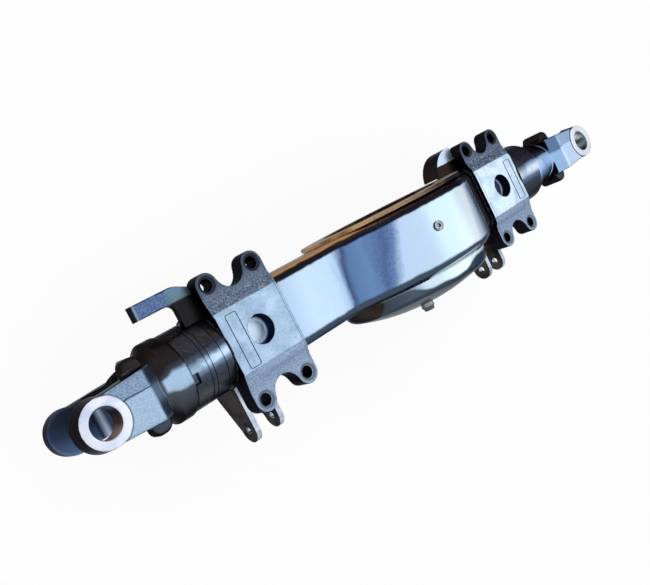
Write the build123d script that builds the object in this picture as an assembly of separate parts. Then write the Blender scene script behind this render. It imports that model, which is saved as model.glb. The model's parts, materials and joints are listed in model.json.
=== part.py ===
from build123d import *
from math import asin, cos, degrees, radians, sin, tan
import os

# Steering drive axle housing of a heavy vehicle, in millimetres.
# X runs along the axle to its far end, Y points to the carrier side, Z is up.
# The origin lies midway between the two spring pads, level with their tops.

# Layout of the whole axle
SPRING_CENTRES = 840.0
AXLE_DROP = 80.0

# Pressed housing: two half shells joined on the axle's centre plane
BEAM_HALF_WIDTH = 82.0
BEAM_HALF_HEIGHT = 68.0
SHELL_WALL = 12.0
SHELL_CORNER = 26.0
BANJO_X = 64.0
BANJO_RADIUS = 214.0
RAMP_ANGLE = 45.0
RAMP_FOOT_RADIUS = 34.0
FILLER_REACH = 52.0
FILLER_HALF_HEIGHT = 44.0

# Carrier opening on the +Y face
CARRIER_OPENING_RADIUS = 180.0
CARRIER_REGISTER_RADIUS = 148.0
CARRIER_FLANGE_RADIUS = 206.0
CARRIER_FLANGE_STAND = 8.0
CARRIER_BOLT_CIRCLE_RADIUS = 164.0
CARRIER_BOLT_COUNT = 16
CARRIER_TAP_RADIUS = 6.0

# Pressed bowl that closes the banjo on the -Y face
COVER_RADIUS = 187.0
COVER_OPENING_RADIUS = 168.0
COVER_DEPTH = 70.0
COVER_FLANK_DEPTH = 36.0
COVER_FLANK_DRAFT = 9.0
COVER_SHOULDER = 20.0
COVER_WALL = 8.0

# Spring seats
SEAT_LENGTH = 160.0
SEAT_BODY_HALF_WIDTH = 84.0
SEAT_BODY_DEPTH = 200.0
SEAT_BODY_CORNER = 14.0
SEAT_END_CORNER = 36.0
PAD_HALF_WIDTH = 60.0
PAD_EDGE = 1.0
EAR_DROP = 10.0
EAR_THICKNESS = 42.0
EAR_RADIUS = 24.0
EAR_SLOPE = 36.0
EAR_NOTCH_Y = 98.0
UBOLT_PITCH_X = 111.4
UBOLT_PITCH_Y = 243.8
UBOLT_HOLE_RADIUS = 12.0
SPOT_FACE_RADIUS = 18.5
SPOT_FACE_DEPTH = 1.5
LOCATING_BORE_RADIUS = 29.3
LOCATING_BORE_DEPTH = 30.0
SHAFT_BORE_RADIUS = 36.0
SPIGOT_LENGTH = 14.0
SPIGOT_CLEARANCE = 0.4

# Tubes between the seats and the yokes
TUBE_LENGTH = 92.0
TUBE_BORE_RADIUS = 46.0
NEAR_TUBE_RADIUS = 80.0
FAR_TUBE_RADIUS = 80.5
GROOVE_WIDTH = 3.0
GROOVE_DEPTH = 1.5
GROOVE_PLACES = (20.0, 47.0, 57.0)
SLOT_LENGTH = 12.0
SLOT_WIDTH = 22.0
SLOT_ANGLE = 14.0
SLOT_DEPTH = 6.0

# Steering yokes, measured outwards from the end of the tube
KINGPIN_OVERHANG = 187.0
COLLAR_EDGE = 6.0

# Oval sections of the yoke necks: distance outwards, half width, half height
NEAR_COLLAR = (34.0, 83.0, 83.0)
NEAR_SHOULDER = (49.0, 69.0, 83.0)
NEAR_WAIST = (68.0, 63.0, 85.0)
FAR_COLLAR = (8.0, 80.5, 80.5)
FAR_SHOULDER = (23.0, 69.5, 80.0)
FAR_WAIST = (62.0, 59.0, 83.0)
NECK_END = (100.0, 54.0, 98.0)

# Fork arms, side lobes and kingpin bosses
ARM_FOOT = 66.0
ARM_FOOT_HALF_HEIGHT = 84.0
ARM_FLAT_START = 91.0
ARM_FOOT_ROUND = 18.0
ARM_TOP = 108.0
ARM_BOTTOM = 99.0
ARM_EDGE = 6.0
UPPER_ARM_ROOT_HALF_WIDTH = 51.0
UPPER_ARM_TIP_HALF_WIDTH = 43.0
LOWER_ARM_ROOT_HALF_WIDTH = 46.0
LOWER_ARM_TIP_HALF_WIDTH = 41.0
LOBE_HALF_WIDTH = 74.0
LOBE_START = 67.0
LOBE_LENGTH = 46.0
LOBE_TOP = 72.0
LOBE_BOTTOM = 14.0
LOBE_CORNER = 19.0
LOBE_EDGE = 9.0
FORK_GAP = 132.0
THROAT_SET_BACK = 34.0
UPPER_BOSS_RADIUS = 48.5
UPPER_BOSS_FACE_RADIUS = 44.2
UPPER_BOSS_TOP = 111.5
LOWER_BOSS_RADIUS = 44.5
LOWER_BOSS_BOTTOM = 102.0
LOWER_BOSS_EDGE = 7.0
KINGPIN_BORE_RADIUS = 27.0
KINGPIN_BORE_CHAMFER = 1.8
LOWER_BORE_DEPTH = 27.0

# Damper lugs under each seat
LUG_PITCH = 64.0
LUG_OUTWARD = 5.0
LUG_THICKNESS = 12.0
LUG_HOLE_Y = 187.0
LUG_HOLE_DROP = 160.0
LUG_HOLE_RADIUS = 8.5
LUG_TIP_RADIUS = 27.0
LUG_ROOT_TOP = 132.0
LUG_ROOT_BOTTOM = 222.0
LUG_ROOT_Y = 105.0

# Bent bar that carries the hose and cable clips, beside the near tube
BAR_WIDTH = 30.0
BAR_THICKNESS = 16.0
BAR_TOP_DROP = 36.0
BAR_OUTER_Y = 150.0
BAR_TIP_X = 204.0
BAR_NECK_X = 122.0
BAR_BEND_RADIUS = 14.0

# Round stop bracket beside the far seat
STOP_RADIUS = 75.0
STOP_INWARD = 88.0
STOP_AXIS_Y = 76.0
STOP_TOP_DROP = 38.0
STOP_DEPTH = 54.0
STOP_WALL = 12.0
STOP_CLEARANCE = 2.0

# Screwed plugs
PLUG_HEX = 22.0
PLUG_HEAD = 7.0
PLUG_COLLAR_RADIUS = 15.0
PLUG_COLLAR_HEIGHT = 3.0
PLUG_SHANK_RADIUS = 9.0
PLUG_CLEARANCE = 0.3
COVER_PLUG_X = -50.0
COVER_PLUG_RISE = 62.0
BREATHER_X = -57.0
BREATHER_Y = 10.0
BREATHER_RADIUS = 11.0
BREATHER_STAND = 4.0
BREATHER_SOCKET = 8.0

# Values that follow from the sizes above
HALF_SPRING = SPRING_CENTRES / 2
HALF_SEAT = SEAT_LENGTH / 2
BEAM_START = -HALF_SPRING + HALF_SEAT
BEAM_END = HALF_SPRING - HALF_SEAT
TUBE_START = HALF_SPRING + HALF_SEAT
AXLE_Z = -AXLE_DROP
CARRIER_FACE_Y = BEAM_HALF_WIDTH + CARRIER_FLANGE_STAND
YOKE_START = TUBE_START + TUBE_LENGTH
HALF_KINGPIN = YOKE_START + KINGPIN_OVERHANG
OVERRUN = 60.0
ENDS = (("near", -1), ("far", 1))


def shaft_x(radius, start, end, x_dir=1):
    """Round bar along X on the axle's centre line between two distances."""
    length = end - start
    return Pos(x_dir * (start + end) / 2, 0, AXLE_Z) * Rot(0, 90, 0) * Cylinder(radius, length)


def shaft_y(x, z, radius, start, end):
    """Round bar along Y between two places."""
    return Pos(x, (start + end) / 2, z) * Rot(90, 0, 0) * Cylinder(radius, abs(end - start))


def shaft_z(x, y, radius, low, high):
    """Round bar along Z between two heights."""
    return Pos(x, y, (low + high) / 2) * Cylinder(radius, high - low)


def turned_x(points, x_dir=1):
    """Solid turned about the axle's centre line from (distance, radius) points."""
    outline = Polygon(*points, align=None)
    solid = revolve(Plane.XY * outline, Axis.X)
    if x_dir < 0:
        solid = mirror(solid, Plane.YZ)
    return Pos(0, 0, AXLE_Z) * solid


def banjo_block(inset):
    """Beam and banjo in one block, every wall moved in by the inset."""
    half = BEAM_HALF_HEIGHT - inset
    radius = BANJO_RADIUS - inset
    rise = radius * cos(radians(RAMP_ANGLE))
    reach = radius * sin(radians(RAMP_ANGLE))
    foot = reach + (rise - half) / tan(radians(RAMP_ANGLE))
    length = BEAM_END - BEAM_START + 2 * OVERRUN + 2 * inset
    beam = Pos((BEAM_START + BEAM_END) / 2, 0) * Rectangle(length, 2 * half)
    quarter = [(foot, half), (reach, rise), (-reach, rise), (-foot, half)]
    mirrored = [(x, -z) for x, z in reversed(quarter)]
    hump = Polygon(*quarter, *mirrored, align=None)
    profile = beam + Pos(BANJO_X, 0) * (hump + Circle(radius))
    feet = [
        v
        for v in profile.vertices()
        if abs(abs(v.X - BANJO_X) - foot) < 0.01 and abs(abs(v.Y) - half) < 0.01
    ]
    profile = fillet(feet, RAMP_FOOT_RADIUS + inset)
    width = BEAM_HALF_WIDTH - inset
    block = extrude(Plane.XZ * profile, amount=width, both=True)
    rims = block.faces().filter_by(Axis.Y)
    block = fillet([e for face in rims for e in face.edges()], SHELL_CORNER - inset)
    return Pos(0, 0, AXLE_Z) * block


def filler_prism(end_sign, wall_sign):
    """Wedge of side wall beside the banjo opening, where the half shells part."""
    base = BANJO_RADIUS * 0.5
    tip = BANJO_RADIUS + FILLER_REACH
    outline = Polygon(
        (end_sign * base, FILLER_HALF_HEIGHT),
        (end_sign * base, -FILLER_HALF_HEIGHT),
        (end_sign * (BANJO_RADIUS - SHELL_CORNER), -FILLER_HALF_HEIGHT),
        (end_sign * tip, 0),
        (end_sign * (BANJO_RADIUS - SHELL_CORNER), FILLER_HALF_HEIGHT),
        align=None,
    )
    prism = extrude(Plane.XZ * outline, amount=SHELL_WALL / 2, both=True)
    middle = wall_sign * (BEAM_HALF_WIDTH - SHELL_WALL / 2)
    return Pos(BANJO_X, middle, AXLE_Z) * prism


def housing_wall():
    """Hollow banjo beam with open ends and round openings front and back."""
    outer = banjo_block(0)
    hollow = outer - banjo_block(SHELL_WALL)
    span = BEAM_END - BEAM_START
    limits = Pos((BEAM_START + BEAM_END) / 2, 0, AXLE_Z) * Box(
        span, 4 * BANJO_RADIUS, 4 * BANJO_RADIUS
    )
    hollow = hollow & limits
    hollow -= shaft_y(BANJO_X, AXLE_Z, CARRIER_OPENING_RADIUS, 0, 2 * BEAM_HALF_WIDTH)
    hollow -= shaft_y(BANJO_X, AXLE_Z, COVER_OPENING_RADIUS, -2 * BEAM_HALF_WIDTH, 0)
    return hollow


def filler_plates(wall):
    """Four welded wedges, named by end and by wall."""
    plates = {}
    for end, end_sign in ENDS:
        for side, wall_sign in (("front", 1), ("rear", -1)):
            plates[f"{end}_{side}_filler"] = wall & filler_prism(end_sign, wall_sign)
    return plates


def vent_place():
    """Spot on the banjo's top surface where the vent stands, square to the surface."""
    lean = degrees(asin(BREATHER_X / BANJO_RADIUS))
    spin = Pos(BANJO_X, BREATHER_Y, AXLE_Z) * Rot(0, lean, 0)
    return spin * Pos(0, 0, BANJO_RADIUS)


def half_shells(wall, fillers):
    """Upper and lower pressed halves, parted on the axle's centre plane."""
    for filler in fillers:
        wall = wall - filler
    drain = shaft_z(BANJO_X, 0, PLUG_SHANK_RADIUS + PLUG_CLEARANCE, -3 * BANJO_RADIUS, AXLE_Z)
    vent = vent_place() * Cylinder(PLUG_SHANK_RADIUS + PLUG_CLEARANCE, 4 * SHELL_WALL)
    wall = wall - drain - vent
    size = 8 * BANJO_RADIUS
    upper = wall & Pos(0, 0, AXLE_Z + size / 2) * Box(size, size, size)
    lower = wall & Pos(0, 0, AXLE_Z - size / 2) * Box(size, size, size)
    return upper, lower


def carrier_flange():
    """Machined ring let into the front opening, with tapped holes for the carrier."""
    back = BEAM_HALF_WIDTH - SHELL_WALL
    spigot = CARRIER_OPENING_RADIUS - SPIGOT_CLEARANCE
    ring = shaft_y(BANJO_X, AXLE_Z, CARRIER_FLANGE_RADIUS, BEAM_HALF_WIDTH, CARRIER_FACE_Y)
    ring += shaft_y(BANJO_X, AXLE_Z, spigot, back, BEAM_HALF_WIDTH)
    ring -= shaft_y(BANJO_X, AXLE_Z, CARRIER_REGISTER_RADIUS, back - 1, CARRIER_FACE_Y + 1)
    for index in range(CARRIER_BOLT_COUNT):
        angle = radians(360 * (index + 0.5) / CARRIER_BOLT_COUNT)
        x = BANJO_X + CARRIER_BOLT_CIRCLE_RADIUS * cos(angle)
        z = AXLE_Z + CARRIER_BOLT_CIRCLE_RADIUS * sin(angle)
        ring -= shaft_y(x, z, CARRIER_TAP_RADIUS, back - 1, CARRIER_FACE_Y + 1)
    return ring


def bowl(radius, flank_depth, depth, shoulder):
    """Turned bowl about Z: drafted flank, round shoulder and a crowned face."""
    top = radius - flank_depth * tan(radians(COVER_FLANK_DRAFT))
    outline = make_face(
        [
            Line((0, 0), (radius, 0)),
            Line((radius, 0), (top, flank_depth)),
            ThreePointArc(
                (top, flank_depth),
                (top * 0.53, flank_depth + (depth - flank_depth) * 0.74),
                (0, depth),
            ),
            Line((0, depth), (0, 0)),
        ]
    )
    corner = [v for v in outline.vertices() if abs(v.Y - flank_depth) < 0.01 and v.X > 1]
    outline = fillet(corner, shoulder)
    return revolve(Plane.XZ * outline, Axis.Z)


def cover_hole_place():
    """Centre of the filler plug on the bowl's crowned face."""
    return BANJO_X + COVER_PLUG_X, AXLE_Z + COVER_PLUG_RISE


def rear_cover():
    """Pressed bowl, welded over the rear opening of the banjo."""
    outer = bowl(COVER_RADIUS, COVER_FLANK_DEPTH, COVER_DEPTH, COVER_SHOULDER)
    inner = bowl(
        COVER_RADIUS - COVER_WALL,
        COVER_FLANK_DEPTH - COVER_WALL,
        COVER_DEPTH - COVER_WALL,
        COVER_SHOULDER - COVER_WALL,
    )
    turn = Pos(BANJO_X, -BEAM_HALF_WIDTH, AXLE_Z) * Rot(90, 0, 0)
    x, z = cover_hole_place()
    hole = shaft_y(x, z, PLUG_SHANK_RADIUS + PLUG_CLEARANCE, -BEAM_HALF_WIDTH - 2 * COVER_DEPTH, 0)
    boss = shaft_y(
        x, z, PLUG_COLLAR_RADIUS, -BEAM_HALF_WIDTH - COVER_DEPTH, -BEAM_HALF_WIDTH - COVER_FLANK_DEPTH
    )
    return (turn * outer + boss) - turn * inner - hole


def seat_slab():
    """Pad and its four clamp ears, seen from above."""
    half_x = UBOLT_PITCH_X / 2
    half_y = UBOLT_PITCH_Y / 2
    notch = half_x - EAR_RADIUS
    plan = Rectangle(SEAT_LENGTH, 2 * half_y)
    for sx in (-1, 1):
        for sy in (-1, 1):
            plan += Pos(sx * half_x, sy * half_y) * Circle(EAR_RADIUS)
    for sy in (-1, 1):
        plan -= Pos(0, sy * (EAR_NOTCH_Y + notch)) * Circle(notch)
        plan -= Pos(0, sy * (EAR_NOTCH_Y + notch + half_y)) * Rectangle(2 * notch, 2 * half_y)
    depth = EAR_DROP + EAR_THICKNESS
    return extrude(plan, amount=-depth)


def spring_seat(sign):
    """Cast saddle: machined spring pad, four ears, and a block that takes beam and tube."""
    half_x = UBOLT_PITCH_X / 2
    half_y = UBOLT_PITCH_Y / 2
    slab = seat_slab()
    tall = 2 * EAR_DROP
    for sy in (-1, 1):
        slope = Polygon(
            (sy * PAD_HALF_WIDTH, 0),
            (sy * PAD_HALF_WIDTH, -PAD_EDGE),
            (sy * (PAD_HALF_WIDTH + EAR_SLOPE), -EAR_DROP),
            (sy * 2 * half_y, -EAR_DROP),
            (sy * 2 * half_y, tall),
            (sy * PAD_HALF_WIDTH, tall),
            align=None,
        )
        slab -= extrude(Plane.YZ * slope, amount=SEAT_LENGTH, both=True)
    block = Pos(0, 0, -(SEAT_BODY_DEPTH + PAD_EDGE) / 2) * Box(
        SEAT_LENGTH, 2 * SEAT_BODY_HALF_WIDTH, SEAT_BODY_DEPTH - PAD_EDGE
    )
    block = fillet(block.edges().filter_by(Axis.X), SEAT_BODY_CORNER)
    outer_end = block.faces().sort_by(Axis.X)[0 if sign < 0 else -1]
    uprights = outer_end.edges().filter_by(Axis.Z)
    block = fillet(uprights, SEAT_END_CORNER)
    pad = Pos(0, 0, -EAR_THICKNESS / 2) * Box(SEAT_LENGTH, 2 * PAD_HALF_WIDTH, EAR_THICKNESS)
    seat = slab + block + pad
    wall = SHELL_WALL + SPIGOT_CLEARANCE
    beam_plug = Rectangle(2 * (BEAM_HALF_WIDTH - wall), 2 * (BEAM_HALF_HEIGHT - wall))
    beam_plug = fillet(beam_plug.vertices(), SHELL_CORNER - SHELL_WALL)
    spigot = extrude(Plane.YZ * beam_plug, amount=HALF_SEAT + SPIGOT_LENGTH)
    if sign > 0:
        spigot = mirror(spigot, Plane.YZ)
    seat += Pos(0, 0, AXLE_Z) * spigot
    seat += shaft_x(TUBE_BORE_RADIUS - SPIGOT_CLEARANCE, 0, HALF_SEAT + SPIGOT_LENGTH, sign)
    seat -= shaft_x(SHAFT_BORE_RADIUS, -SEAT_LENGTH, SEAT_LENGTH)
    for sx in (-1, 1):
        for sy in (-1, 1):
            x, y = sx * half_x, sy * half_y
            seat -= shaft_z(x, y, UBOLT_HOLE_RADIUS, -2 * EAR_THICKNESS, EAR_DROP)
            seat -= shaft_z(x, y, SPOT_FACE_RADIUS, -EAR_DROP - SPOT_FACE_DEPTH, EAR_DROP)
    seat -= shaft_z(0, 0, LOCATING_BORE_RADIUS, -LOCATING_BORE_DEPTH, EAR_DROP)
    return Pos(sign * HALF_SPRING, 0, 0) * seat


def groove(radius, place, sign):
    """Shallow turned groove round a tube."""
    middle = TUBE_START + place
    ring = shaft_x(radius + GROOVE_DEPTH, middle - GROOVE_WIDTH / 2, middle + GROOVE_WIDTH / 2, sign)
    return ring - shaft_x(radius - GROOVE_DEPTH, middle - GROOVE_WIDTH, middle + GROOVE_WIDTH, sign)


def near_tube():
    """Round tube with machining grooves and a shallow slot at its yoke end."""
    tube = shaft_x(NEAR_TUBE_RADIUS, TUBE_START, YOKE_START, -1)
    tube -= shaft_x(TUBE_BORE_RADIUS, TUBE_START - 1, YOKE_START + 1, -1)
    for place in GROOVE_PLACES:
        tube -= groove(NEAR_TUBE_RADIUS, place, -1)
    slot = Pos(0, 0, NEAR_TUBE_RADIUS) * Box(2 * SLOT_LENGTH, SLOT_WIDTH, 2 * SLOT_DEPTH)
    return tube - Pos(-YOKE_START, 0, AXLE_Z) * Rot(SLOT_ANGLE, 0, 0) * slot


def far_tube():
    """Plain round tube from the far seat to its yoke."""
    tube = shaft_x(FAR_TUBE_RADIUS, TUBE_START, YOKE_START)
    return tube - shaft_x(TUBE_BORE_RADIUS, TUBE_START - 1, YOKE_START + 1)


def yoke_neck(tube_radius, collar_oval, shoulder, waist):
    """Round collar that narrows sideways into a tall oval waist."""
    collar_length, collar_radius = collar_oval[:2]
    collar_end = YOKE_START + collar_length
    collar = turned_x([
        (YOKE_START, 0),
        (YOKE_START, tube_radius),
        (YOKE_START + COLLAR_EDGE, collar_radius),
        (collar_end, collar_radius),
        (collar_end, 0),
    ])
    ovals = Sketch()
    for place, half_width, half_height in (collar_oval, shoulder, waist, NECK_END):
        section = Plane(origin=(YOKE_START + place, 0, 0), x_dir=(0, 0, 1), z_dir=(1, 0, 0))
        ovals += section * Ellipse(half_height, half_width)
    return Pos(0, 0, -AXLE_Z) * collar + loft(ovals.faces())


def fork_arm(upper):
    """Upper or lower arm from its foot on the neck to the kingpin."""
    foot = YOKE_START + ARM_FOOT
    flat = YOKE_START + ARM_FLAT_START
    height = ARM_TOP if upper else ARM_BOTTOM
    root = UPPER_ARM_ROOT_HALF_WIDTH if upper else LOWER_ARM_ROOT_HALF_WIDTH
    tip = UPPER_ARM_TIP_HALF_WIDTH if upper else LOWER_ARM_TIP_HALF_WIDTH
    side = Polygon(
        (foot, 0),
        (foot, ARM_FOOT_HALF_HEIGHT),
        (flat, height),
        (HALF_KINGPIN, height),
        (HALF_KINGPIN, 0),
        align=None,
    )
    crest = [corner for corner in side.vertices() if abs(corner.X - flat) < 0.01]
    side = fillet(crest, ARM_FOOT_ROUND)
    plan = Polygon((foot, -root), (HALF_KINGPIN, -tip), (HALF_KINGPIN, tip), (foot, root), align=None)
    arm = extrude(Plane.XZ * side, amount=root, both=True) & extrude(plan, amount=height)
    top = arm.faces().sort_by(Axis.Z)[-1]
    rim = [edge for edge in top.edges() if edge.length > HALF_KINGPIN - flat - ARM_FOOT_ROUND]
    arm = fillet(rim, ARM_EDGE)
    if not upper:
        arm = mirror(arm, Plane.XY)
    return arm


def side_lobes():
    """Pair of thick rounded lobes at the root of the upper arm."""
    height = LOBE_TOP - LOBE_BOTTOM
    lobes = Box(LOBE_LENGTH, 2 * LOBE_HALF_WIDTH, height)
    lobes = fillet(lobes.edges().filter_by(Axis.Z), LOBE_CORNER)
    lobes = fillet(lobes.edges().group_by(Axis.Z)[-1], LOBE_EDGE)
    middle = YOKE_START + LOBE_START + LOBE_LENGTH / 2
    return Pos(middle, 0, (LOBE_TOP + LOBE_BOTTOM) / 2) * lobes


def fork_gap():
    """Space between the arms, with a round throat."""
    gap = FORK_GAP / 2
    throat = HALF_KINGPIN - THROAT_SET_BACK
    reach = 2 * UPPER_BOSS_RADIUS + THROAT_SET_BACK
    slot = Pos(throat + reach / 2, 0) * Rectangle(reach, FORK_GAP)
    slot += Pos(throat, 0) * Circle(gap)
    return extrude(Plane.XZ * slot, amount=2 * LOBE_HALF_WIDTH, both=True)


def yoke(sign):
    """Forged fork: collar, oval neck, side lobes, two arms and the kingpin bosses."""
    if sign < 0:
        neck = yoke_neck(NEAR_TUBE_RADIUS, NEAR_COLLAR, NEAR_SHOULDER, NEAR_WAIST)
    else:
        neck = yoke_neck(FAR_TUBE_RADIUS, FAR_COLLAR, FAR_SHOULDER, FAR_WAIST)
    gap = FORK_GAP / 2
    body = neck + fork_arm(True) + fork_arm(False) + side_lobes() - fork_gap()
    top_boss = Pos(HALF_KINGPIN, 0, (gap + UPPER_BOSS_TOP) / 2) * Cone(
        UPPER_BOSS_RADIUS, UPPER_BOSS_FACE_RADIUS, UPPER_BOSS_TOP - gap
    )
    low_boss = shaft_z(HALF_KINGPIN, 0, LOWER_BOSS_RADIUS, -LOWER_BOSS_BOTTOM, -gap)
    low_boss = fillet(low_boss.edges().group_by(Axis.Z)[0], LOWER_BOSS_EDGE)
    body = Pos(0, 0, AXLE_Z) * (body + top_boss + low_boss)
    spigot = TUBE_BORE_RADIUS - SPIGOT_CLEARANCE
    body += shaft_x(spigot, YOKE_START - SPIGOT_LENGTH, YOKE_START + 1)
    body -= shaft_x(SHAFT_BORE_RADIUS, YOKE_START - 2 * SPIGOT_LENGTH, HALF_KINGPIN)
    high = AXLE_Z + UPPER_BOSS_TOP
    body -= shaft_z(HALF_KINGPIN, 0, KINGPIN_BORE_RADIUS, AXLE_Z, high + 1)
    body -= Pos(HALF_KINGPIN, 0, high - KINGPIN_BORE_CHAMFER / 2) * Cone(
        KINGPIN_BORE_RADIUS, KINGPIN_BORE_RADIUS + KINGPIN_BORE_CHAMFER, KINGPIN_BORE_CHAMFER
    )
    low = AXLE_Z - LOWER_BOSS_BOTTOM
    body -= shaft_z(HALF_KINGPIN, 0, KINGPIN_BORE_RADIUS, low - 1, low + LOWER_BORE_DEPTH)
    if sign < 0:
        body = mirror(body, Plane.YZ)
    return body


def damper_lug(x):
    """Flat lug welded to the rear of a seat, seen along the axle."""
    wall = -SEAT_BODY_HALF_WIDTH
    hole_y = -LUG_HOLE_Y
    hole_z = -LUG_HOLE_DROP
    tip = Pos(hole_y, hole_z) * Circle(LUG_TIP_RADIUS)
    web = Polygon(
        (wall, -LUG_ROOT_TOP),
        (hole_y, hole_z + LUG_TIP_RADIUS),
        (hole_y, hole_z - LUG_TIP_RADIUS),
        (-LUG_ROOT_Y, -LUG_ROOT_BOTTOM),
        (wall, -SEAT_BODY_DEPTH + SEAT_BODY_CORNER),
        align=None,
    )
    outline = web + tip - Pos(hole_y, hole_z) * Circle(LUG_HOLE_RADIUS)
    plate = extrude(Plane.YZ * outline, amount=LUG_THICKNESS / 2, both=True)
    return Pos(x, 0, 0) * plate


def clip_bar():
    """Flat bar with one bend, its root on the near seat and its tip beside the tube."""
    inner_y = BAR_OUTER_Y - BAR_WIDTH
    tip = -(HALF_SPRING + BAR_TIP_X)
    neck = -(HALF_SPRING + BAR_NECK_X)
    wall = -TUBE_START
    root = SEAT_BODY_HALF_WIDTH - SEAT_BODY_CORNER
    plan = Polygon(
        (wall, root),
        (wall, BAR_OUTER_Y - BAR_BEND_RADIUS),
        (wall - BAR_WIDTH, BAR_OUTER_Y),
        (tip, BAR_OUTER_Y),
        (tip, inner_y),
        (neck, inner_y),
        (neck, root),
        align=None,
    )
    inner_corner = [v for v in plan.vertices() if abs(v.X - neck) < 0.01 and abs(v.Y - inner_y) < 0.01]
    plan = fillet(inner_corner, BAR_BEND_RADIUS)
    outer_corner = [v for v in plan.vertices() if abs(v.X - wall + BAR_WIDTH) < 0.01]
    plan = fillet(outer_corner, BAR_BEND_RADIUS + BAR_WIDTH)
    bar = Pos(0, 0, -BAR_TOP_DROP) * extrude(plan, amount=-BAR_THICKNESS)
    return bar - shaft_x(NEAR_TUBE_RADIUS + SPIGOT_CLEARANCE, TUBE_START - 1, TUBE_START + BAR_TIP_X, -1)


def stop_bracket():
    """Half-round cup on the front wall beside the far seat, open underneath."""
    x = HALF_SPRING - STOP_INWARD
    top = -STOP_TOP_DROP
    cup = shaft_z(x, STOP_AXIS_Y, STOP_RADIUS, top - STOP_DEPTH, top)
    cup -= shaft_z(x, STOP_AXIS_Y, STOP_RADIUS - STOP_WALL, top - 2 * STOP_DEPTH, top - STOP_WALL)
    size = 4 * STOP_RADIUS
    cup -= Pos(x, BEAM_HALF_WIDTH - size / 2, 0) * Box(size, size, size)
    cup -= Pos(BEAM_END + size / 2, 0, 0) * Box(size, 2 * size, size)
    clear = CARRIER_FLANGE_RADIUS + STOP_CLEARANCE
    return cup - shaft_y(BANJO_X, AXLE_Z, clear, 0, CARRIER_FACE_Y + STOP_CLEARANCE)


def hex_plug():
    """Screwed plug along Z, its collar seated at zero."""
    shank = COVER_WALL + SHELL_WALL
    plug = Pos(0, 0, PLUG_COLLAR_HEIGHT / 2) * Cylinder(PLUG_COLLAR_RADIUS, PLUG_COLLAR_HEIGHT)
    plug += extrude(
        RegularPolygon(PLUG_HEX / 2, 6, major_radius=False), amount=PLUG_COLLAR_HEIGHT + PLUG_HEAD
    )
    plug += Pos(0, 0, -shank / 2) * Cylinder(PLUG_SHANK_RADIUS, shank)
    return plug


def breather():
    """Low vent plug with a hexagon socket, square to the top of the banjo."""
    plug = Pos(0, 0, BREATHER_STAND / 2) * Cylinder(BREATHER_RADIUS, BREATHER_STAND)
    plug += Pos(0, 0, -SHELL_WALL / 2) * Cylinder(PLUG_SHANK_RADIUS, SHELL_WALL)
    socket = RegularPolygon(BREATHER_SOCKET / 2, 6, major_radius=False)
    plug -= extrude(socket, amount=BREATHER_STAND)
    return vent_place() * plug


def build():
    """Every piece of the housing by name."""
    nodes = {}
    wall = housing_wall()
    fillers = filler_plates(wall)
    upper, lower = half_shells(wall, list(fillers.values()))
    nodes["upper_housing_shell"] = upper
    nodes["lower_housing_shell"] = lower
    nodes.update(fillers)
    nodes["carrier_flange_ring"] = carrier_flange()
    nodes["rear_cover"] = rear_cover()
    nodes["near_spring_seat"] = spring_seat(-1)
    nodes["far_spring_seat"] = spring_seat(1)
    nodes["near_axle_tube"] = near_tube()
    nodes["far_axle_tube"] = far_tube()
    nodes["near_steering_yoke"] = yoke(-1)
    nodes["far_steering_yoke"] = yoke(1)
    for end, sign in ENDS:
        middle = sign * (HALF_SPRING + LUG_OUTWARD)
        nodes[f"{end}_outer_lug"] = damper_lug(middle + sign * LUG_PITCH / 2)
        nodes[f"{end}_inner_lug"] = damper_lug(middle - sign * LUG_PITCH / 2)
    nodes["clip_bar"] = clip_bar()
    nodes["stop_bracket"] = stop_bracket()
    x, z = cover_hole_place()
    face = -BEAM_HALF_WIDTH - COVER_DEPTH
    nodes["filler_plug"] = Pos(x, face, z) * Rot(90, 0, 0) * hex_plug()
    nodes["drain_plug"] = Pos(BANJO_X, 0, AXLE_Z - BANJO_RADIUS) * Rot(180, 0, 0) * hex_plug()
    nodes["breather_plug"] = breather()
    return nodes


def main():
    os.makedirs("parts", exist_ok=True)
    for name, solid in build().items():
        export_step(solid, f"parts/{name}.step")


main()
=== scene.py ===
# %% [markdown]
# Steering drive axle housing, dressed for a studio picture.
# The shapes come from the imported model, so this lesson starts by loading it.
# Every size below is in metres, and the model's own frame is kept: X runs along the axle,
# Y points to the carrier side and Z is up out of the spring pads.

import json
import math

import bpy
from mathutils import Matrix, Vector

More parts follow.
